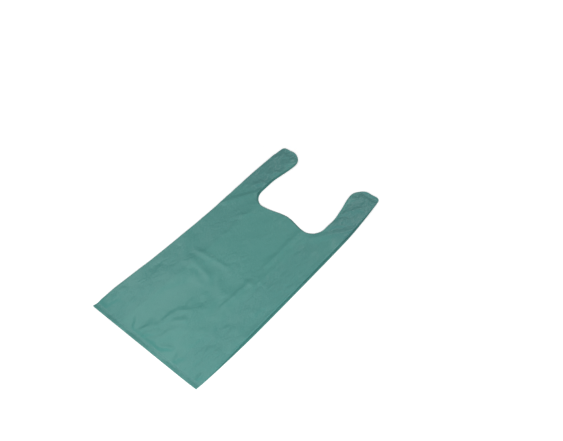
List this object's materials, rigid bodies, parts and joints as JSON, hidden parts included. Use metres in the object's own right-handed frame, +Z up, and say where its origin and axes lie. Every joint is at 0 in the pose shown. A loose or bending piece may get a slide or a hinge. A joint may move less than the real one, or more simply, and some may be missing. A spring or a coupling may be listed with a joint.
{
  "type": "plastic carrier bag",
  "caption": "Vest-type carrier bag of thin polythene film with side gussets, folded flat, with a punched mouth and a handle on each side of it.",
  "frame": {"origin": "on the surface that the bag lies on, under the middle of the flat bag", "axes": "+X across the bag, +Y from the bottom edge to the tops of the handles, +Z up out of the back panel"},
  "size_m": [0.305, 0.61, 0.006],
  "materials": {
    "green_film": "satin"
  },
  "bodies": {
    "root": {"carrier_bag": "green_film"}
  },
  "joints": []
}
